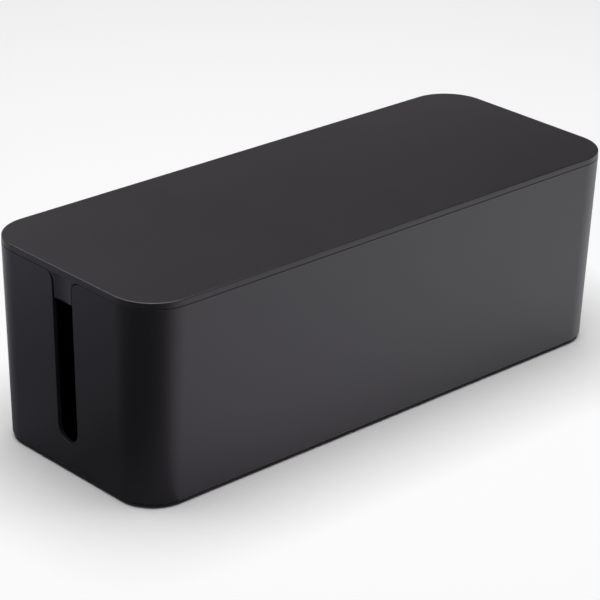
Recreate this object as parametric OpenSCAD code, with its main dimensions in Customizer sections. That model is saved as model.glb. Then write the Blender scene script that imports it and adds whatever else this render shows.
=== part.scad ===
// Cable management box: a moulded tub with a cable slot in each end, a lift-off lid and four feet.
// +X runs along the box, +Y across it and +Z up. The origin is on the floor, under the box's middle.

/* [Box] */
// Length over the two ends, at the tub's rim
box_length = 400; // [340:1:480]
// Width over the two long sides, at the tub's rim
box_width = 154.4; // [130:0.2:190]
// Height from the underside of the tub to the top of the lid
box_height = 131.8; // [110:0.1:160]
// Radius of the four upright corners, at the tub's rim
corner_radius = 29.4; // [20:0.1:34]
// How far each wall of the tub leans in between its rim and its underside
wall_lean = 4; // [0:0.1:5]

/* [Tub] */
// Thickness of the upright walls
tub_wall = 3; // [2.2:0.1:4]
// Thickness of the floor
tub_floor = 3; // [2.2:0.1:5]
// Radius along the bottom edge
bottom_rounding = 1.5; // [0.5:0.1:2.5]
// Radius inside, where the walls meet the floor
inner_rounding = 2; // [1:0.5:6]

/* [Cable slots] */
// Width of the slot in each end
slot_width = 18.5; // [14:0.5:26]
// Height of a slot's lowest point above the underside of the tub
slot_bottom = 18.6; // [12:0.1:40]
// Radius of the tub's corners where a slot opens into the rim
slot_flare = 7; // [4:0.5:10]

/* [Lid] */
// Thickness of the lid's top
lid_plate = 3; // [2.2:0.1:4]
// Height of the lid's edge, from the rim of the tub to the top
lid_edge = 4.3; // [4.2:0.1:10]
// How far the lid's edge leans in between the rim and the top
edge_lean = 0.2; // [0:0.05:0.5]
// Radius along the top edge
lid_rounding = 1.5; // [0.5:0.1:2]
// Height of the open line between the lid's edge and the rim
seam_gap = 0.4; // [0.2:0.1:0.8]
// Depth of the open line
seam_depth = 1; // [0.5:0.1:1.5]
// Thickness of the lip that locates the lid inside the rim
lip_wall = 2; // [1.5:0.1:3]
// How far the lip reaches down past the rim
lip_depth = 7; // [4:0.5:10]
// Clearance between the lip and the walls of the tub, at the rim
lip_clearance = 0.5; // [0.5:0.1:1]

/* [Tongues] */
// How far a tongue reaches down past the rim, into a slot
tongue_drop = 16.4; // [12:0.1:30]
// Clearance between a tongue and each side of its slot
tongue_clearance = 1.15; // [0.5:0.05:2]
// How far a tongue's face stands back from the end wall's
tongue_recess = 0.65; // [0.2:0.05:1.2]
// Height over which the face steps back
tongue_blend = 3; // [1:0.5:6]
// Radius along a tongue's lower edge
tongue_rounding = 0.8; // [0.3:0.1:1.2]
// Width of the hollow down a tongue's face
scoop_width = 14.5; // [8:0.5:15.5]
// Depth of that hollow
scoop_depth = 0.7; // [0.3:0.1:1]

/* [Feet] */
// Diameter of a foot
foot_diameter = 14; // [10:0.5:20]
// How far a foot stands out below the tub
foot_stand = 2.5; // [1.5:0.1:5]
// Depth of the recess that a foot is bonded into
foot_recess = 0.8; // [0.4:0.1:1.2]
// Clearance round a foot in its recess
foot_clearance = 0.2; // [0.1:0.05:0.5]
// Radius along a foot's lower edge
foot_rounding = 0.6; // [0.2:0.1:1]

/* [Hidden] */

// Fineness of every curve
$fn = 96;
// How far a cut runs past the face that it opens
overcut = 1;

// Height of the tub's rim, which the lid rests on
rim = box_height - lid_edge;
// The walls' lean, in mm of width for each mm of height, and as an angle
lean_slope = wall_lean / rim;
lean_angle = atan(lean_slope);
// The rectangle through the centres of the upright corners
centre_x = box_length / 2 - corner_radius;
centre_y = box_width / 2 - corner_radius;
// Outer face of the lid's lip, from the rectangle of corner centres
lip_face = corner_radius - tub_wall - lip_clearance;
// Where the slot's sides turn outwards
flare_start = rim - slot_flare;
// A tongue's back is set into the middle of the lip
tongue_back = lip_face - lip_wall / 2;
tongue_low = rim - tongue_drop;
tongue_half = slot_width / 2 - tongue_clearance;
// The curve from a tongue's side into the lid's lower edge keeps clear of the tub's flare
tongue_top = rim + seam_gap;
tongue_flare = slot_flare + tongue_clearance - seam_gap;
// A cylinder of this radius hollows a tongue's face
scoop_radius = (pow(scoop_width / 2, 2) + pow(scoop_depth, 2)) / (2 * scoop_depth);
// The lip's lower corner is cut back to lead it in
lip_lead = lip_wall / 3;

// Distances from the rectangle of corner centres, at a height above the underside: the tub's
// outer wall, and the lid's edge
function wall_at(height) = corner_radius - wall_lean + height * lean_slope;
function edge_at(height) = corner_radius - edge_lean * (height - rim) / lid_edge;

function unit(v) = v / norm(v);
function half_angle(p, a, b) = acos(unit(a - p) * unit(b - p)) / 2;

// Centre of a rounding of radius r at corner p, between the edges that run to a and b
function round_centre(p, a, b, r) = p + unit(unit(a - p) + unit(b - p)) * r / sin(half_angle(p, a, b));

// Where that rounding leaves the edge that runs to a
function round_end(p, a, b, r) = p + unit(a - p) * r / tan(half_angle(p, a, b));

// What a rounding takes off an outside corner p
module corner_bit(p, a, b, r) {
    centre = round_centre(p, a, b, r);
    outside = p + (p - centre);
    difference() {
        polygon([round_end(p, a, b, r), centre, round_end(p, b, a, r), outside]);
        translate(centre) circle(r);
    }
}

// The sweeps below carry a profile round the box. Its x is the distance from the rectangle of
// corner centres and its y is the height above the underside.
module along_ends() {
    for (turn = [0, 180])
        rotate([0, 0, turn])
            translate([centre_x, 0, 0])
                rotate([90, 0, 0])
                    linear_extrude(2 * centre_y, center = true)
                        children();
}

module along_sides() {
    for (turn = [90, 270])
        rotate([0, 0, turn])
            translate([centre_y, 0, 0])
                rotate([90, 0, 0])
                    linear_extrude(2 * centre_x, center = true)
                        children();
}

module round_corners() {
    for (corner = [[1, 1, 0], [-1, 1, 90], [-1, -1, 180], [1, -1, 270]])
        translate([corner.x * centre_x, corner.y * centre_y, 0])
            rotate([0, 0, corner.z])
                rotate_extrude(angle = 90)
                    children();
}

// Sweeps a profile all round, and fills the middle from one height to another
module sweep_round(from, to) {
    along_ends() children();
    along_sides() children();
    round_corners() children();
    translate([-centre_x, -centre_y, from])
        cube([2 * centre_x, 2 * centre_y, to - from]);
}

// Repeats one end's features at both ends
module both_ends() {
    for (turn = [0, 180])
        rotate([0, 0, turn])
            children();
}

// The tub: its profile from the middle of the floor to the rim
module tub_profile() {
    middle = [0, 0];
    outer_low = [wall_at(0), 0];
    outer_high = [corner_radius, rim];
    inner_high = [corner_radius - tub_wall, rim];
    inner_low = [wall_at(tub_floor) - tub_wall, tub_floor];
    floor_middle = [0, tub_floor];
    difference() {
        polygon([
            middle,
            outer_low,
            outer_high,
            inner_high,
            round_end(inner_low, inner_high, floor_middle, inner_rounding),
            round_end(inner_low, floor_middle, inner_high, inner_rounding),
            floor_middle
        ]);
        corner_bit(outer_low, middle, outer_high, bottom_rounding);
        translate(round_centre(inner_low, inner_high, floor_middle, inner_rounding))
            circle(inner_rounding);
    }
}

// A slot seen from the end: round at the bottom, and flared where it opens into the rim
module slot_outline() {
    slot_half = slot_width / 2;
    flare_centre = slot_half + slot_flare;
    translate([0, slot_bottom + slot_half])
        circle(slot_half);
    translate([-slot_half, slot_bottom + slot_half])
        square([slot_width, rim + overcut - slot_bottom - slot_half]);
    difference() {
        translate([-flare_centre, flare_start])
            square([2 * flare_centre, slot_flare + overcut]);
        for (way = [-1, 1])
            translate([way * flare_centre, flare_start])
                circle(slot_flare);
    }
}

module slot_cuts() {
    inner_end = centre_x + wall_at(0) - tub_wall - inner_rounding;
    both_ends()
        translate([inner_end, 0, 0])
            rotate([90, 0, 90])
                linear_extrude(box_length / 2 + overcut - inner_end)
                    slot_outline();
}

// Places its children at each of the four feet
module at_feet() {
    for (x = [-1, 1], y = [-1, 1])
        translate([x * centre_x, y * centre_y, 0])
            children();
}

module tub() {
    color("#242427")
        translate([0, 0, foot_stand])
            difference() {
                sweep_round(0, tub_floor) tub_profile();
                slot_cuts();
                at_feet()
                    translate([0, 0, -overcut])
                        cylinder(r = foot_diameter / 2 + foot_clearance, h = foot_recess + overcut);
            }
}

// The lid: its profile from the middle of the top to the edge, and down the lip
module lid_profile() {
    middle = [0, box_height];
    top_edge = [edge_at(box_height), box_height];
    edge_low = [edge_at(tongue_top), tongue_top];
    seam_back = edge_low.x - seam_depth;
    lip_low = rim - lip_depth;
    plate_low = box_height - lid_plate;
    difference() {
        polygon([
            middle,
            top_edge,
            edge_low,
            [seam_back, tongue_top],
            [seam_back, rim],
            [lip_face, rim],
            [lip_face, lip_low + lip_lead],
            [lip_face - lip_lead, lip_low],
            [lip_face - lip_wall, lip_low],
            [lip_face - lip_wall, plate_low],
            [0, plate_low]
        ]);
        corner_bit(top_edge, middle, edge_low, lid_rounding);
    }
}

// A tongue from the side: level with the lid's edge at the top, then set back from the end wall
module tongue_profile() {
    edge_low = [edge_at(tongue_top), tongue_top];
    step_low = [wall_at(rim - tongue_blend) - tongue_recess, rim - tongue_blend];
    face_low = [wall_at(tongue_low) - tongue_recess, tongue_low];
    back_low = [tongue_back, tongue_low];
    root = tongue_top + lid_edge / 4;
    difference() {
        polygon([
            [tongue_back, root],
            [edge_low.x - seam_depth, root],
            edge_low,
            step_low,
            face_low,
            back_low
        ]);
        corner_bit(face_low, back_low, step_low, tongue_rounding);
    }
}

// A tongue from the end: it follows the slot's sides and flare
module tongue_outline() {
    flare_centre = tongue_half + tongue_flare;
    flare_low = tongue_top - tongue_flare;
    translate([-tongue_half, tongue_low - overcut])
        square([2 * tongue_half, tongue_top + lid_edge - tongue_low + overcut]);
    difference() {
        translate([-flare_centre, flare_low])
            square([2 * flare_centre, tongue_flare + lid_edge]);
        for (way = [-1, 1])
            translate([way * flare_centre, flare_low])
                circle(tongue_flare);
    }
}

// The cylinder that hollows a tongue's face from its lower edge up to the rim
module scoop() {
    face = wall_at(tongue_low) - tongue_recess;
    translate([centre_x + face, 0, tongue_low])
        rotate([0, lean_angle, 0])
            translate([scoop_radius - scoop_depth, 0, -overcut])
                cylinder(r = scoop_radius, h = tongue_drop + overcut);
}

module tongue() {
    reach = tongue_half + tongue_flare + overcut;
    difference() {
        intersection() {
            translate([centre_x, 0, 0])
                rotate([90, 0, 0])
                    linear_extrude(2 * reach, center = true)
                        tongue_profile();
            translate([centre_x, 0, 0])
                rotate([90, 0, 90])
                    linear_extrude(corner_radius + overcut)
                        tongue_outline();
        }
        scoop();
    }
}

module lid() {
    color("#2a2a2d")
        translate([0, 0, foot_stand]) {
            sweep_round(box_height - lid_plate, box_height) lid_profile();
            both_ends() tongue();
        }
}

// A rubber foot: a disc bonded into a recess under one corner of the tub
module foot(x, y) {
    foot_half = foot_diameter / 2;
    top = foot_stand + foot_recess;
    color("#161617")
        translate([x * centre_x, y * centre_y, 0])
            rotate_extrude()
                difference() {
                    square([foot_half, top]);
                    corner_bit([foot_half, 0], [0, 0], [foot_half, top], foot_rounding);
                }
}

tub();
lid();
foot(-1, -1);  // foot_front_left
foot(1, -1);  // foot_front_right
foot(-1, 1);  // foot_rear_left
foot(1, 1);  // foot_rear_right
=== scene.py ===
# %% [markdown]
# # A cable management box
#
# The box hides a power strip and its leads. It is two black injection mouldings, a tub and a lid
# that lifts off, on four rubber feet. The CAD frame fixes every size and place. This script models
# the same pieces by hand, with the soft edges and finishes that a moulding has.

# %% Load the frame
import math

import bmesh
import bpy
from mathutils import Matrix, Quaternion, Vector


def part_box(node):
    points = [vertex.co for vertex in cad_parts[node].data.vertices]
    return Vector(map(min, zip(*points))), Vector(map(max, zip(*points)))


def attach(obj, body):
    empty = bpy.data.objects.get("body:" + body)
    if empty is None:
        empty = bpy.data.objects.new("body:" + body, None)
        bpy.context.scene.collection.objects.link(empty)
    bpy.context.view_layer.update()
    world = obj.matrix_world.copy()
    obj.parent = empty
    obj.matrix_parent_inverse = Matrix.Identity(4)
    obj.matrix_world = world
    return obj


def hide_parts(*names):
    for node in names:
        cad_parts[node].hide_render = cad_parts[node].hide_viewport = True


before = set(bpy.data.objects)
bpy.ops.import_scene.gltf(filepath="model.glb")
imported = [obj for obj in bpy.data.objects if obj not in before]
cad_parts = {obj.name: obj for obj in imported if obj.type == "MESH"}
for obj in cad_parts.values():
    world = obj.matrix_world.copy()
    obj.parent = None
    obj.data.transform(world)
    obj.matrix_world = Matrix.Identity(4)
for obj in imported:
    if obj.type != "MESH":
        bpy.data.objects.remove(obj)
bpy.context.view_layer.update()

# %% [markdown]
# ## Sizes
#
# The outer sizes are read from the frame. The rest are the moulding's own small sizes, in
# millimetres, the same ones that the CAD uses. Only the rounding of the edges is finer here, and
# each foot has a dish that the CAD leaves out. Each size is given where it is first needed.

# %% Sizes from the frame, and the walls
MM = 0.001
tub_low, tub_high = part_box("tub")
lid_low, lid_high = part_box("lid")
foot_low, foot_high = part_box("foot_front_left")

LENGTH = tub_high.x - tub_low.x
WIDTH = tub_high.y - tub_low.y
UNDERSIDE = tub_low.z
RIM = tub_high.z
LID_TOP = lid_high.z
TONGUE_LOW = lid_low.z
# Each foot stands under the centre of its corner's arc
CORNER_RADIUS = tub_high.x + (foot_low.x + foot_high.x) / 2
TUB_WALL = 3 * MM
TUB_FLOOR = 3 * MM
# How far each wall leans in, over its whole height and over each unit of it
WALL_LEAN = 4 * MM
LEAN_SLOPE = WALL_LEAN / (RIM - UNDERSIDE)
print("rim at", round(RIM / MM, 1), "mm, lid top at", round(LID_TOP / MM, 1), "mm")
print("corner radius", round(CORNER_RADIUS / MM, 1), "mm")

# %% [markdown]
# ## Working as by hand
#
# Every piece below starts as a primitive and is shaped with edit-mode operators. An operator acts
# on whatever is selected, so a few helpers keep the selection clean: one leaves edit mode and
# deselects, one opens a piece for editing, and one selects corners, edges or faces by a test.

# %% Select a whole piece
def deselect():
    """Leaves edit mode, with nothing selected."""
    if bpy.context.object and bpy.context.object.mode == "EDIT":
        bpy.ops.object.mode_set(mode="OBJECT")
    bpy.ops.object.select_all(action="DESELECT")


def take(piece):
    """Makes a piece the only one selected."""
    deselect()
    piece.select_set(True)
    bpy.context.view_layer.objects.active = piece


def edit(piece):
    """Opens a piece in edit mode, with all of it selected."""
    take(piece)
    bpy.ops.object.mode_set(mode="EDIT")
    bpy.ops.mesh.select_all(action="SELECT")


deselect()
print("selected", len(bpy.context.selected_objects))

# %% Select corners, edges or faces
# Two places closer than this are the same
NEARLY = 0.01 * MM


def pick(kind, test):
    """Selects the corners (VERT), edges (EDGE) or faces (FACE) that pass a test."""
    mesh = bpy.context.object.data
    bpy.ops.mesh.select_mode(type=kind)
    bpy.ops.mesh.select_all(action="DESELECT")
    shape = bmesh.from_edit_mesh(mesh)
    parts = {"VERT": shape.verts, "EDGE": shape.edges, "FACE": shape.faces}[kind]
    found = [part for part in parts if test(part)]
    for part in found:
        part.select_set(True)
    shape.select_flush_mode()
    bmesh.update_edit_mesh(mesh)
    return len(found)


def near(a, b, slack=NEARLY):
    return abs(a - b) < slack


def edge_at(height):
    """A test for edges that lie at one height."""
    return lambda edge: all(near(corner.co.z, height) for corner in edge.verts)


def face_at(height):
    """A test for level faces at one height."""
    return lambda face: near(face.calc_center_median().z, height)


# %% Place and measure a piece
def settle(piece):
    """Puts a piece's place, turn and size into its mesh."""
    take(piece)
    bpy.ops.object.transform_apply(location=True, rotation=True, scale=True)


def report(piece):
    """Prints a piece's size, its faces and open edges, and its volume."""
    shape = bmesh.new()
    shape.from_mesh(piece.data)
    open_edges = sum(len(edge.link_faces) != 2 for edge in shape.edges)
    size = [round(1000 * side, 2) for side in piece.dimensions]
    print(piece.name, "size in mm", size, "faces", len(shape.faces), "open edges", open_edges)
    print(piece.name, "volume in cm3", round(shape.calc_volume() * 1e6, 2))
    shape.free()


# %% [markdown]
# ## The tub
#
# The real tub is drawn off a steel core, so its walls lean in towards the floor and its corners
# are round. One plate at the rim becomes the whole tub: an inset that also moves down makes a
# leaning wall, because an inset keeps every side at the same distance and so shrinks the corner
# radius as the mould does. Scaling the bottom would have stretched the corners instead.

# %% A flat plate with round corners
CORNER_STEPS = 32
# The profile that makes a bevel's section part of a circle
ROUND = 0.5


def rounded_plate(name, length, width, radius, height):
    """A flat plate with round corners, facing up, left open in edit mode."""
    deselect()
    bpy.ops.mesh.primitive_plane_add(size=1, location=(0, 0, height))
    plate = bpy.context.object
    plate.name = name
    plate.scale = (length, width, 1)
    settle(plate)
    edit(plate)
    bpy.ops.mesh.bevel(affect="VERTICES", offset=radius, segments=CORNER_STEPS, profile=ROUND)
    return plate


def step_in(inwards, along=0.0):
    """Insets the selected face, and moves the new face along its normal."""
    bpy.ops.mesh.inset(thickness=inwards, depth=along, use_even_offset=True)


# %% Pull the tub from its rim
def tub_body():
    tub = rounded_plate("tub_shell", LENGTH, WIDTH, CORNER_RADIUS, RIM)
    bpy.ops.mesh.flip_normals()
    step_in(WALL_LEAN, RIM - UNDERSIDE)
    pick("EDGE", edge_at(RIM))
    bpy.ops.mesh.edge_face_add()
    pick("FACE", face_at(RIM))
    bpy.ops.mesh.normals_make_consistent(inside=False)
    pick("FACE", face_at(RIM))
    step_in(TUB_WALL)
    depth = RIM - UNDERSIDE - TUB_FLOOR
    step_in(depth * LEAN_SLOPE, -depth)
    return tub


tub = tub_body()
deselect()
report(tub)

# %% Round the tub's bottom, inside and out
BOTTOM_ROUNDING = 1.5 * MM
BOTTOM_STEPS = 5
INNER_ROUNDING = 2 * MM
INNER_STEPS = 6


def round_loop(height, radius, steps):
    """Rounds the edges at one height."""
    found = pick("EDGE", edge_at(height))
    bpy.ops.mesh.bevel(offset=radius, segments=steps, profile=ROUND)
    print("rounded", found, "edges at", round(height / MM, 1), "mm")


edit(tub)
round_loop(UNDERSIDE, BOTTOM_ROUNDING, BOTTOM_STEPS)
round_loop(UNDERSIDE + TUB_FLOOR, INNER_ROUNDING, INNER_STEPS)
deselect()
report(tub)

# %% [markdown]
# ## The cable slots
#
# Each end has a slot that is round at the bottom and open at the rim, where the wall turns away in
# a small flare. The tongues that close the slots' tops have the same outline, so one function draws
# both: a T whose inside corners are rounded, pulled along X. Two short tools could cut the slots.
# One long bar through both ends keeps them in line, and a boolean cuts it out.

# %% Pull what is selected
def pull(x=0.0, y=0.0, z=0.0):
    """Extrudes what is selected, and moves the new part."""
    bpy.ops.mesh.extrude_region_move(TRANSFORM_OT_translate={"value": (x, y, z)})


def thicken(length):
    """Pulls the outline that is open in edit mode along X, and turns its faces outwards."""
    bpy.ops.mesh.select_all(action="SELECT")
    pull(x=length)
    bpy.ops.mesh.select_all(action="SELECT")
    bpy.ops.mesh.normals_make_consistent(inside=False)
    deselect()


# %% An outline with a flared top
QUARTER_TURN = math.pi / 2
FLARE_STEPS = 16
# How far a cutting tool runs past what it cuts
OVERCUT = 1 * MM


def flared_outline(name, half, low, high, head, flare, start):
    """A flat T at X start, left open in edit mode. Its stem reaches from low to high and is twice
    half wide, its head stands on that, and the corners between them are rounded by flare."""
    deselect()
    bpy.ops.mesh.primitive_plane_add(
        size=1, location=(start, 0, (low + high) / 2), rotation=(QUARTER_TURN, 0, QUARTER_TURN)
    )
    outline = bpy.context.object
    outline.name = name
    outline.scale = (2 * half, high - low, 1)
    settle(outline)
    edit(outline)
    pick("EDGE", edge_at(high))
    pull(z=head)
    for way in (-1, 1):
        pick("EDGE", lambda edge: all(
            near(corner.co.y, way * half) and corner.co.z > high - NEARLY for corner in edge.verts
        ))
        pull(y=way * (flare + OVERCUT))
    bpy.ops.mesh.select_all(action="SELECT")
    bpy.ops.mesh.dissolve_faces()
    pick("VERT", lambda corner: near(abs(corner.co.y), half) and near(corner.co.z, high))
    bpy.ops.mesh.bevel(affect="VERTICES", offset=flare, segments=FLARE_STEPS, profile=ROUND)
    return outline


# %% Cut the slots
SLOT_HALF = 9.25 * MM
SLOT_BOTTOM = UNDERSIDE + 18.6 * MM
SLOT_FLARE = 7 * MM
# Two roundings of the whole half width would meet in one point, so they are a trace smaller
SLOT_ROUNDING = SLOT_HALF * 0.9999


def combine(piece, tool, operation):
    """Joins a tool to the piece, cuts it out or keeps what they share, and removes the tool."""
    take(piece)
    modifier = piece.modifiers.new("combine", "BOOLEAN")
    modifier.operation = operation
    modifier.solver = "EXACT"
    modifier.object = tool
    bpy.ops.object.modifier_apply(modifier=modifier.name)
    bpy.data.objects.remove(tool)


def slot_tool():
    start = -LENGTH / 2 - OVERCUT
    tool = flared_outline("slot_tool", SLOT_HALF, SLOT_BOTTOM, RIM, OVERCUT, SLOT_FLARE, start)
    pick("VERT", lambda corner: near(corner.co.z, SLOT_BOTTOM))
    bpy.ops.mesh.bevel(
        affect="VERTICES", offset=SLOT_ROUNDING, segments=FLARE_STEPS, profile=ROUND
    )
    thicken(LENGTH + 2 * OVERCUT)
    return tool


combine(tub, slot_tool(), "DIFFERENCE")
report(tub)

# %% Sink the feet's recesses
FOOT_RADIUS = (foot_high.x - foot_low.x) / 2
FOOT_RECESS = foot_high.z - UNDERSIDE
FOOT_CLEARANCE = 0.2 * MM
FOOT_STEPS = 64
foot_x = LENGTH / 2 - CORNER_RADIUS
foot_y = WIDTH / 2 - CORNER_RADIUS

for x in (-foot_x, foot_x):
    for y in (-foot_y, foot_y):
        deselect()
        bpy.ops.mesh.primitive_cylinder_add(
            vertices=FOOT_STEPS,
            radius=FOOT_RADIUS + FOOT_CLEARANCE,
            depth=2 * FOOT_RECESS,
            location=(x, y, UNDERSIDE),
        )
        recess = bpy.context.object
        settle(recess)
        combine(tub, recess, "DIFFERENCE")
report(tub)

# %% [markdown]
# ## Softened edges
#
# No moulded edge is sharp, and the thin light line along the slot and the rim is what tells the
# eye so. A bevel modifier would give every edge one radius, so the edges round the slots and the
# rim are found by place instead. The rim's radius is smaller, because it lies under the lid, and a
# wide one would blur the dark line there. Where the two roundings meet, corners fall almost
# together, so they are merged afterwards.

# %% Find the edges of the slots and the rim
SHARP = math.radians(30)
# How close to a leaning wall a corner has to be to count as on it
WALL_SLACK = 0.03 * MM


def outer_wall(height):
    """How far the outer wall stands in from the rim, at a height."""
    return (RIM - height) * LEAN_SLOPE


def on_end_face(corner, depth=0.0):
    """Whether a corner lies on an end's outer face, or that far inside it."""
    wall = LENGTH / 2 - outer_wall(corner.co.z) - depth
    return near(abs(corner.co.x), wall, WALL_SLACK)


def bounds_slot(edge):
    """Whether an edge follows the side of a slot, on the outer or the inner face of an end."""
    reach = SLOT_HALF + SLOT_FLARE + NEARLY
    by_slot = all(
        abs(corner.co.y) < reach and corner.co.z > SLOT_BOTTOM - NEARLY for corner in edge.verts
    )
    if not by_slot or edge_at(RIM)(edge):
        return False
    on_one_face = any(
        all(on_end_face(corner, depth) for corner in edge.verts) for depth in (0, TUB_WALL)
    )
    return on_one_face and edge.calc_face_angle(0) > SHARP


def bounds_rim(edge):
    """Whether an edge follows the rim's outer or inner side."""
    return edge_at(RIM)(edge) and edge.calc_face_angle(0) > SHARP


# %% Soften the slots and the rim
EDGE_RADIUS = 0.3 * MM
RIM_RADIUS = 0.15 * MM
EDGE_STEPS = 3
SAME_POINT = 0.02 * MM

edit(tub)
for test, radius in ((bounds_slot, EDGE_RADIUS), (bounds_rim, RIM_RADIUS)):
    print("edges softened", pick("EDGE", test))
    bpy.ops.mesh.bevel(offset=radius, segments=EDGE_STEPS, profile=ROUND)
bpy.ops.mesh.select_all(action="SELECT")
bpy.ops.mesh.remove_doubles(threshold=SAME_POINT)
deselect()
report(tub)

# %% [markdown]
# ## The lid
#
# The lid is one moulding too: a plate, an edge that stands on the rim with a fine open line under
# it, and a lip that keeps it in place. It is worked from the edge's lower side. An inset up makes
# the edge and the top, and a chain of insets and pulls below makes the open line, the seat and
# the lip.

# %% The lid's sizes
LID_EDGE = LID_TOP - RIM
EDGE_LEAN = 0.2 * MM
LID_PLATE = 3 * MM
LID_ROUNDING = 0.7 * MM
TOP_STEPS = 6
SEAM_GAP = 0.4 * MM
SEAM_DEPTH = 1 * MM
SEAM_TOP = RIM + SEAM_GAP
LIP_WALL = 2 * MM
LIP_DEPTH = 7 * MM
LIP_CLEARANCE = 0.5 * MM
print("lid edge", round(LID_EDGE / MM, 2), "mm high, lip", round(LIP_DEPTH / MM, 2), "mm deep")

# %% Pull the lid from its edge
def lid_body():
    lean = EDGE_LEAN * (LID_TOP - SEAM_TOP) / LID_EDGE
    behind_rim = EDGE_LEAN - lean
    length, width = LENGTH - 2 * behind_rim, WIDTH - 2 * behind_rim
    lid = rounded_plate("lid_cover", length, width, CORNER_RADIUS - behind_rim, SEAM_TOP)
    step_in(lean, LID_TOP - SEAM_TOP)
    pick("EDGE", edge_at(SEAM_TOP))
    bpy.ops.mesh.edge_face_add()
    bpy.ops.mesh.select_all(action="SELECT")
    bpy.ops.mesh.normals_make_consistent(inside=False)
    pick("FACE", face_at(SEAM_TOP))
    step_in(SEAM_DEPTH)
    pull(z=-SEAM_GAP)
    step_in(TUB_WALL + LIP_CLEARANCE - behind_rim - SEAM_DEPTH)
    pull(z=-LIP_DEPTH)
    step_in(LIP_WALL)
    pull(z=LIP_DEPTH + LID_EDGE - LID_PLATE)
    return lid


lid = lid_body()
round_loop(LID_TOP, LID_ROUNDING, TOP_STEPS)
deselect()
report(lid)

# %% Lead the lip in
LIP_LEAD = LIP_WALL / 3
# A face is upright if its normal rises or falls by less than this
UPRIGHT = 0.5


def follows_lip(edge):
    """Whether an edge is in the outer of the two loops on the lip's lower side."""
    return edge_at(RIM - LIP_DEPTH)(edge) and any(
        abs(face.normal.z) < UPRIGHT and face.normal.dot(face.calc_center_median()) > 0
        for face in edge.link_faces
    )


edit(lid)
print("lip edges", pick("EDGE", follows_lip))
bpy.ops.mesh.bevel(offset=LIP_LEAD, segments=1)
deselect()
report(lid)

# %% [markdown]
# ## The tongues
#
# A tongue hangs from the lid into the top of each slot. It is the part that two simple bars
# share: one has the slot's outline seen from the end, the other the tongue's side view, which
# starts level with the lid's edge and then steps back. A wide cylinder hollows its face.

# %% The tongue's sizes
TONGUE_CLEARANCE = 1.15 * MM
TONGUE_HALF = SLOT_HALF - TONGUE_CLEARANCE
TONGUE_FLARE = SLOT_FLARE + TONGUE_CLEARANCE - SEAM_GAP
TONGUE_RECESS = 0.65 * MM
TONGUE_BLEND = 3 * MM
TONGUE_ROUNDING = 0.8 * MM
TONGUE_STEPS = 4
# The tongue's upper end and its back lie inside the lid's edge and lip, so that they join
TONGUE_ROOT = SEAM_TOP + LID_EDGE / 4
TONGUE_BACK = LENGTH / 2 - TUB_WALL - LIP_CLEARANCE - LIP_WALL / 2
# Its face starts this far behind the end of the box, so that it and the lid's edge don't coincide
HIDDEN_STEP = 0.05 * MM


def front_at(height):
    """Where the tongue's face is, from the middle of the box."""
    face = LENGTH / 2 - outer_wall(height)
    return face if height > RIM - TONGUE_BLEND / 2 else face - TONGUE_RECESS


print("tongue", round(2 * TONGUE_HALF / MM, 2), "mm wide")
print("tongue reaches", round((RIM - TONGUE_LOW) / MM, 2), "mm below the rim")

# %% The tongue's side view
def side_bar():
    """A block with the tongue's side view: bisected at each height, then its front moved."""
    reach = TONGUE_HALF + TONGUE_FLARE + OVERCUT
    front = LENGTH / 2 - HIDDEN_STEP
    deselect()
    bpy.ops.mesh.primitive_cube_add(
        size=1, location=((TONGUE_BACK + front) / 2, 0, (TONGUE_LOW + TONGUE_ROOT) / 2)
    )
    bar = bpy.context.object
    bar.name = "tongue"
    bar.scale = (front - TONGUE_BACK, 2 * reach, TONGUE_ROOT - TONGUE_LOW)
    settle(bar)
    edit(bar)
    for height in (RIM - TONGUE_BLEND, RIM):
        bpy.ops.mesh.select_all(action="SELECT")
        bpy.ops.mesh.bisect(plane_co=(0, 0, height), plane_no=(0, 0, 1))
    for height in (TONGUE_LOW, RIM - TONGUE_BLEND):
        pick("VERT", lambda corner: near(corner.co.x, front) and near(corner.co.z, height))
        bpy.ops.transform.translate(value=(front_at(height) - front, 0, 0))
    pick("EDGE", lambda edge: edge_at(TONGUE_LOW)(edge) and all(
        corner.co.x > TONGUE_BACK + NEARLY for corner in edge.verts
    ))
    bpy.ops.mesh.bevel(offset=TONGUE_ROUNDING, segments=TONGUE_STEPS, profile=ROUND)
    deselect()
    return bar


# %% Shape a tongue
SCOOP_HALF = 7.25 * MM
SCOOP_DEPTH = 0.7 * MM
SCOOP_RADIUS = (SCOOP_HALF ** 2 + SCOOP_DEPTH ** 2) / (2 * SCOOP_DEPTH)
SCOOP_STEPS = 360


def scoop_tool():
    """A cylinder that leans with the wall, from below the tongue to the rim."""
    lean = math.atan(LEAN_SLOPE)
    length = RIM - TONGUE_LOW + OVERCUT
    foot = Vector((front_at(TONGUE_LOW) + SCOOP_RADIUS - SCOOP_DEPTH, 0, TONGUE_LOW - OVERCUT))
    middle = foot + Vector((math.sin(lean), 0, math.cos(lean))) * length / 2
    deselect()
    bpy.ops.mesh.primitive_cylinder_add(
        vertices=SCOOP_STEPS, radius=SCOOP_RADIUS, depth=length, location=middle, rotation=(0, lean, 0)
    )
    tool = bpy.context.object
    settle(tool)
    return tool


def make_tongue():
    tongue = side_bar()
    low, start = TONGUE_LOW - OVERCUT, TONGUE_BACK - OVERCUT
    outline = flared_outline("outline", TONGUE_HALF, low, SEAM_TOP, LID_EDGE, TONGUE_FLARE, start)
    thicken(CORNER_RADIUS)
    combine(tongue, outline, "INTERSECT")
    combine(tongue, scoop_tool(), "DIFFERENCE")
    return tongue


tongue = make_tongue()
report(tongue)

# %% Join a tongue to each end of the lid
def turned_copy(piece):
    """A copy with its own mesh, turned half way round the box."""
    copy = piece.copy()
    copy.data = piece.data.copy()
    bpy.context.scene.collection.objects.link(copy)
    copy.rotation_euler = (0, 0, math.pi)
    settle(copy)
    return copy


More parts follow.
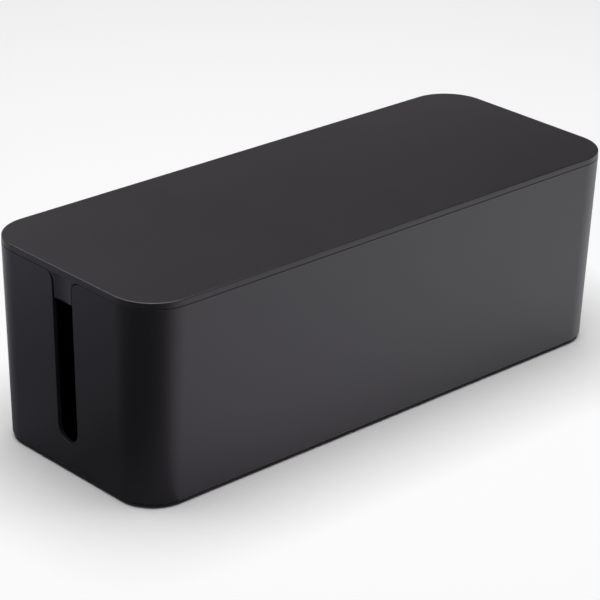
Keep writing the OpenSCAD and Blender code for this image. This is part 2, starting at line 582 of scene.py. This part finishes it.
other_tongue = turned_copy(tongue)
combine(lid, tongue, "UNION")
combine(lid, other_tongue, "UNION")
report(lid)

# %% [markdown]
# ## The feet
#
# Each foot is a rubber disc, bonded into its recess. A cylinder gives the disc, a bevel rounds its
# lower edge, and an inset that moves up leaves the shallow dish such feet are moulded with.

# %% Make four feet
FOOT_ROUNDING = 0.6 * MM
FOOT_ROUNDING_STEPS = 4
FOOT_BORDER = 2 * MM
FOOT_DISH = 0.3 * MM


def make_foot(node):
    low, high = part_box(node)
    deselect()
    bpy.ops.mesh.primitive_cylinder_add(
        vertices=FOOT_STEPS, radius=FOOT_RADIUS, depth=high.z - low.z, location=(low + high) / 2
    )
    foot = bpy.context.object
    foot.name = "rubber_" + node
    settle(foot)
    edit(foot)
    pick("EDGE", edge_at(low.z))
    bpy.ops.mesh.bevel(offset=FOOT_ROUNDING, segments=FOOT_ROUNDING_STEPS, profile=ROUND)
    pick("FACE", face_at(low.z))
    step_in(FOOT_BORDER)
    step_in(FOOT_DISH, -FOOT_DISH)
    deselect()
    return foot


FOOT_NODES = [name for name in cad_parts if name.startswith("foot_")]
feet = {node: make_foot(node) for node in sorted(FOOT_NODES)}
for foot in feet.values():
    report(foot)

# %% [markdown]
# ## Smooth shading
#
# Flat faces should stay flat up to their rounded edges, so the normals are weighted by face area
# after the surface is shaded smooth.

# %% Shade the pieces
SMOOTH_LIMIT = math.radians(35)
# From 1 to 100: 50 is neutral, and above it the large faces count for more
FAVOUR_LARGE_FACES = 100


def shade(piece):
    take(piece)
    bpy.ops.object.shade_smooth_by_angle(angle=SMOOTH_LIMIT)
    weighted = piece.modifiers.new("weighted", "WEIGHTED_NORMAL")
    weighted.keep_sharp = True
    weighted.weight = FAVOUR_LARGE_FACES
    bpy.ops.object.modifier_apply(modifier=weighted.name)
    print("shaded", piece.name)


for piece in (tub, lid, *feet.values()):
    shade(piece)
deselect()

# %% [markdown]
# ## Finishes
#
# A finish starts from what the real one is made of and how its surface was made. Patterns are read
# from Object coordinates, so they keep their real size and stay in place when a piece moves. Both
# finishes of the box are moulded: their colour and roughness drift slowly over patches, and a fine
# grain covers them. So one function makes both, from each one's own values.

# %% Helpers for materials
def linear(hex_colour):
    """An sRGB hex colour as the linear RGBA that Blender's nodes use."""
    channels = [int(hex_colour[i:i + 2], 16) / 255 for i in (1, 3, 5)]
    return [c / 12.92 if c <= 0.04045 else ((c + 0.055) / 1.055) ** 2.4 for c in channels] + [1.0]


def add_node(tree, kind, settings=(), links=()):
    """Adds a node, sets its fields and inputs, and links its inputs to other nodes' outputs."""
    node = tree.nodes.new(kind)
    for name, value in dict(settings).items():
        if name in node.inputs:
            node.inputs[name].default_value = value
        else:
            setattr(node, name, value)
    for name, output in dict(links).items():
        tree.links.new(output, node.inputs[name])
    return node


def new_material(name):
    material = bpy.data.materials.new(name)
    material.use_nodes = True
    material.node_tree.nodes.clear()
    return material


def finish_material(material, shader):
    output = add_node(material.node_tree, "ShaderNodeOutputMaterial")
    material.node_tree.links.new(shader.outputs[0], output.inputs["Surface"])
    return material


# %% A moulded finish
# How many finer layers the noise of the patches and of the grain has
PATCH_DETAIL = 3.0
GRAIN_DETAIL = 2.0


def moulded_finish(name, colours, roughness, ior, patch, grain, depth, strength):
    """Colours and roughness that drift over patches, and a bump of a grain with its own depth."""
    material = new_material(name)
    tree = material.node_tree
    place = add_node(tree, "ShaderNodeTexCoord").outputs["Object"]
    drift = add_node(
        tree, "ShaderNodeTexNoise", {"Scale": 1 / patch, "Detail": PATCH_DETAIL}, {"Vector": place}
    ).outputs["Fac"]
    first, second = [linear(colour) for colour in colours]
    tint = add_node(
        tree, "ShaderNodeMix", {"data_type": "RGBA", "A": first, "B": second}, {"Factor": drift}
    ).outputs["Result"]
    smoothest, roughest = roughness
    rough = add_node(
        tree, "ShaderNodeMapRange", {"To Min": smoothest, "To Max": roughest}, {"Value": drift}
    ).outputs["Result"]
    grains = add_node(
        tree, "ShaderNodeTexNoise", {"Scale": 1 / grain, "Detail": GRAIN_DETAIL}, {"Vector": place}
    ).outputs["Fac"]
    bump = add_node(
        tree, "ShaderNodeBump", {"Strength": strength, "Distance": depth}, {"Height": grains}
    ).outputs["Normal"]
    shader = add_node(
        tree, "ShaderNodeBsdfPrincipled", {"IOR": ior},
        {"Base Color": tint, "Roughness": rough, "Normal": bump},
    )
    return finish_material(material, shader)


# %% [markdown]
# The mouldings are black ABS from a spark-eroded mould, which leaves a fine, even grain. The eye
# gets a satin black: hardly a colour of its own, with a trace of violet, and soft reflections that
# fade at their edges. A gloss this soft could come from the grain alone, but real grain is about
# 0.03 mm wide, too fine to show, so the roughness stands in for it, and the bump draws a coarser
# one of 0.8 mm. The roughness drifts a little, as on a moulding that cooled unevenly. ABS has an
# IOR of about 1.54, matched here to 1.58.

# %% Satin black ABS
abs_finish = moulded_finish(
    "satin_black_abs",
    colours=("#1a161b", "#1e1a1f"),
    roughness=(0.37, 0.43),
    ior=1.58,
    patch=60 * MM,
    grain=0.8 * MM,
    depth=0.02 * MM,
    strength=0.15,
)
print("made", abs_finish.name)

# %% [markdown]
# The feet are moulded rubber. The eye gets a deep black with no clear reflection, a shade duller
# than the box, because carbon-filled rubber has a matte skin. It is made like the ABS, with a high
# roughness, a rubber's IOR of 1.52 and a deeper grain of 0.5 mm.

# %% Matte black rubber
rubber_finish = moulded_finish(
    "matte_black_rubber",
    colours=("#131314", "#19191a"),
    roughness=(0.7, 0.8),
    ior=1.52,
    patch=6 * MM,
    grain=0.5 * MM,
    depth=0.03 * MM,
    strength=0.3,
)
print("made", rubber_finish.name)

# %% Put the finishes on
for piece in (tub, lid):
    piece.data.materials.clear()
    piece.data.materials.append(abs_finish)
for foot in feet.values():
    foot.data.materials.append(rubber_finish)
print("finishes on", [piece.name for piece in (tub, lid, *feet.values())])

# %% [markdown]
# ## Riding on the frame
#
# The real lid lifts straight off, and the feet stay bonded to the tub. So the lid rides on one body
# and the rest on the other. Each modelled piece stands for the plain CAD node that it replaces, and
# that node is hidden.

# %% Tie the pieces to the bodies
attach(tub, "tub_body")
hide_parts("tub")
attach(lid, "lid_body")
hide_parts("lid")
for node, foot in feet.items():
    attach(foot, "tub_body")
    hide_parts(node)
print("on tub_body", [piece.name for piece in (tub, *feet.values())])
print("on lid_body", [lid.name])

# %% [markdown]
# ## Camera, floor and light
#
# A long lens from the front left looks down on the lid from about 24 degrees. At 1.7 m it keeps
# the box's long edges nearly parallel. The Standard view transform leaves the colours as the
# materials give them, where the default would soften their contrast.

# %% Camera and view transform
CAMERA_PLACE = Vector((-1042.47, -1095.217, 739.838)) * MM
CAMERA_AZIMUTH = math.radians(-43.3286)
CAMERA_ELEVATION = math.radians(24.3073)
CAMERA_ROLL = math.radians(1.3868)
LENS = 155.862
SENSOR_WIDTH = 36


def add_camera():
    back = Vector((
        math.sin(CAMERA_AZIMUTH) * math.cos(CAMERA_ELEVATION),
        -math.cos(CAMERA_AZIMUTH) * math.cos(CAMERA_ELEVATION),
        math.sin(CAMERA_ELEVATION),
    ))
    roll = Quaternion((0, 0, 1), CAMERA_ROLL)
    data = bpy.data.cameras.new("camera")
    data.sensor_width = SENSOR_WIDTH
    data.lens = LENS
    camera = bpy.data.objects.new("camera", data)
    camera.location = CAMERA_PLACE
    camera.rotation_mode = "QUATERNION"
    camera.rotation_quaternion = (-back).to_track_quat("-Z", "Y") @ roll
    bpy.context.scene.collection.objects.link(camera)
    bpy.context.scene.camera = camera


add_camera()
bpy.context.scene.view_settings.view_transform = "Standard"
print("camera distance in m", round(CAMERA_PLACE.length, 2))

# %% [markdown]
# A plain pale floor carries the object's soft shadow. It is fully matte, so it mirrors neither the
# box nor the lights.

# %% Floor
FLOOR_SIZE = 12
FLOOR_COLOUR = "#fbfbfb"


def add_floor():
    deselect()
    bpy.ops.mesh.primitive_plane_add(size=FLOOR_SIZE, location=(0, 0, 0))
    floor = bpy.context.object
    floor.name = "floor"
    material = new_material("pale_floor")
    shader = add_node(
        material.node_tree, "ShaderNodeBsdfPrincipled",
        {"Base Color": linear(FLOOR_COLOUR), "Roughness": 1.0, "Specular IOR Level": 0.0},
    )
    floor.data.materials.append(finish_material(material, shader))
    print("floor", FLOOR_SIZE, "m wide")


add_floor()

# %% [markdown]
# The light is what a studio uses for a dark, glossy product: a large softbox overhead gives the
# floor its even tone, and a small one behind draws a thin light line along the lid's edge. That one
# is seen by gloss alone, so that it leaves the floor as it is. The room adds a faint light from all
# round. A dark moulding shows little but what it reflects, so what lies in front of each face sets
# its tone.

# %% Softboxes and the room's own light
LAMP_TARGET = (0, 0, 0.07)
OVERHEAD_PLACE = (0, 0, 2.4)
OVERHEAD_SIZE = (2.4, 2.4)
OVERHEAD_POWER = 72
BACK_PLACE = (-0.303, 1.130, 1.567)
BACK_SIZE = (1.4, 1.0)
BACK_POWER = 11
ROOM_STRENGTH = 0.06


def add_softbox(name, place, size, power, only_gloss=False):
    data = bpy.data.lights.new(name, "AREA")
    data.shape = "RECTANGLE"
    data.size, data.size_y = size
    data.energy = power
    lamp = bpy.data.objects.new(name, data)
    lamp.location = place
    lamp.visible_diffuse = not only_gloss
    lamp.rotation_mode = "QUATERNION"
    lamp.rotation_quaternion = (Vector(LAMP_TARGET) - Vector(place)).to_track_quat("-Z", "Y")
    bpy.context.scene.collection.objects.link(lamp)
    print(name, "power in watts", power)


def add_room_light():
    world = bpy.data.worlds.new("studio")
    bpy.context.scene.world = world
    world.use_nodes = True
    background = world.node_tree.nodes["Background"]
    background.inputs["Color"].default_value = linear("#ffffff")
    background.inputs["Strength"].default_value = ROOM_STRENGTH
    print("room light", ROOM_STRENGTH)


add_softbox("overhead_softbox", OVERHEAD_PLACE, OVERHEAD_SIZE, OVERHEAD_POWER)
add_softbox("back_softbox", BACK_PLACE, BACK_SIZE, BACK_POWER, only_gloss=True)
add_room_light()

# %% [markdown]
# Cards are put round a glossy product to set what it reflects. Here there are three, and only gloss
# sees them. The one by the left end is black in front and fades to grey behind and close to the
# box, so the near corner turns deep black and the end wall stays dark. The one along the front is a
# light table: it glows a little, and gets whiter along X, so the long side brightens towards its
# far end. The one behind stands just above the lid's height, so the lid's top is a little lighter
# at the back. The cards have the trace of violet that a real box picks up from its surroundings.

# %% A card's finish
def shade_along(tree, axis, stops):
    """A colour that runs along one axis, through stops of a place in metres and a hex colour."""
    position = add_node(tree, "ShaderNodeTexCoord").outputs["Object"]
    along = add_node(tree, "ShaderNodeSeparateXYZ", links={"Vector": position}).outputs[axis]
    first, last = stops[0][0], stops[-1][0]
    share = add_node(
        tree, "ShaderNodeMapRange", {"From Min": first, "From Max": last}, {"Value": along}
    )
    ramp = add_node(tree, "ShaderNodeValToRGB", links={"Fac": share.outputs["Result"]})
    marks = ramp.color_ramp.elements
    for place, _ in stops[1:-1]:
        marks.new((place - first) / (last - first))
    for mark, (_, colour) in zip(marks, stops):
        mark.color = linear(colour)
    return ramp.outputs["Color"]


def card_finish(name, shades, glow):
    """A matte finish that glows by its shade. Shades along two axes are mixed by Screen, which
    lightens one by the other and never goes past white."""
    material = new_material(name)
    tree = material.node_tree
    colour, *others = [shade_along(tree, axis, stops) for axis, stops in shades.items()]
    for other in others:
        colour = add_node(
            tree, "ShaderNodeMix", {"data_type": "RGBA", "blend_type": "SCREEN", "Factor": 1.0},
            {"A": colour, "B": other},
        ).outputs["Result"]
    shader = add_node(
        tree, "ShaderNodeBsdfPrincipled",
        {"Roughness": 1.0, "Specular IOR Level": 0.0, "Emission Strength": glow},
        {"Base Color": colour, "Emission Color": colour},
    )
    return finish_material(material, shader)


# %% A card that only gloss sees
def add_card(name, low, high, shades, glow=0.0):
    """A card between two corners, flat on the floor or standing along X."""
    deselect()
    middle = [(a + b) / 2 for a, b in zip(low, high)]
    length, depth, height = (b - a for a, b in zip(low, high))
    turn = QUARTER_TURN if height else 0
    bpy.ops.mesh.primitive_plane_add(size=1, location=middle, rotation=(turn, 0, 0))
    card = bpy.context.object
    card.name = name
    card.scale = (length, height or depth, 1)
    settle(card)
    card.visible_camera = False
    card.visible_diffuse = False
    card.visible_shadow = False
    card.visible_transmission = False
    card.data.materials.append(card_finish(name, shades, glow))
    print(name, "length in m", round(length, 2), "glow", glow)


# %% Place the three cards
CARD_HEIGHT = 1 * MM
CARDS_MEET = -0.17
BACK_CARD_LOW = 0.14
BACK_CARD_HIGH = 0.24
# Each card's two corners, in metres
END_CARD = [(-1.0, -0.9, CARD_HEIGHT), (CARDS_MEET, 0.8, CARD_HEIGHT)]
FRONT_CARD = [(CARDS_MEET, -0.9, CARD_HEIGHT), (1.0, -0.072, CARD_HEIGHT)]
BACK_CARD = [(-0.2, 0.2, BACK_CARD_LOW), (0.9, 0.2, BACK_CARD_HIGH)]
FRONT_GLOW = 0.27
BACK_GLOW = 0.1
END_SHADES = {
    "Y": [
        (0.0, "#000000"), (0.06, "#66656d"), (0.14, "#68676f"), (0.25, "#93929c"),
        (0.45, "#cecdda"),
    ],
    "X": [(-0.35, "#000000"), (-0.25, "#2d2c30"), (CARDS_MEET, "#8c8b95")],
}
FRONT_SHADES = {
    "X": [
        (CARDS_MEET, "#b9b5bd"), (-0.08, "#d7d3db"), (0.05, "#e1dfe6"), (0.2, "#f2f2f8"),
        (0.45, "#f8f8ff"),
    ],
}
BACK_SHADES = {
    "Z": [(BACK_CARD_LOW, "#b6b5ba"), (BACK_CARD_HIGH, "#8f8e93")],
    "X": [(0.1, "#000000"), (0.4, "#5c5b60")],
}

add_card("end_card", *END_CARD, END_SHADES)
add_card("front_card", *FRONT_CARD, FRONT_SHADES, FRONT_GLOW)
add_card("back_card", *BACK_CARD, BACK_SHADES, BACK_GLOW)
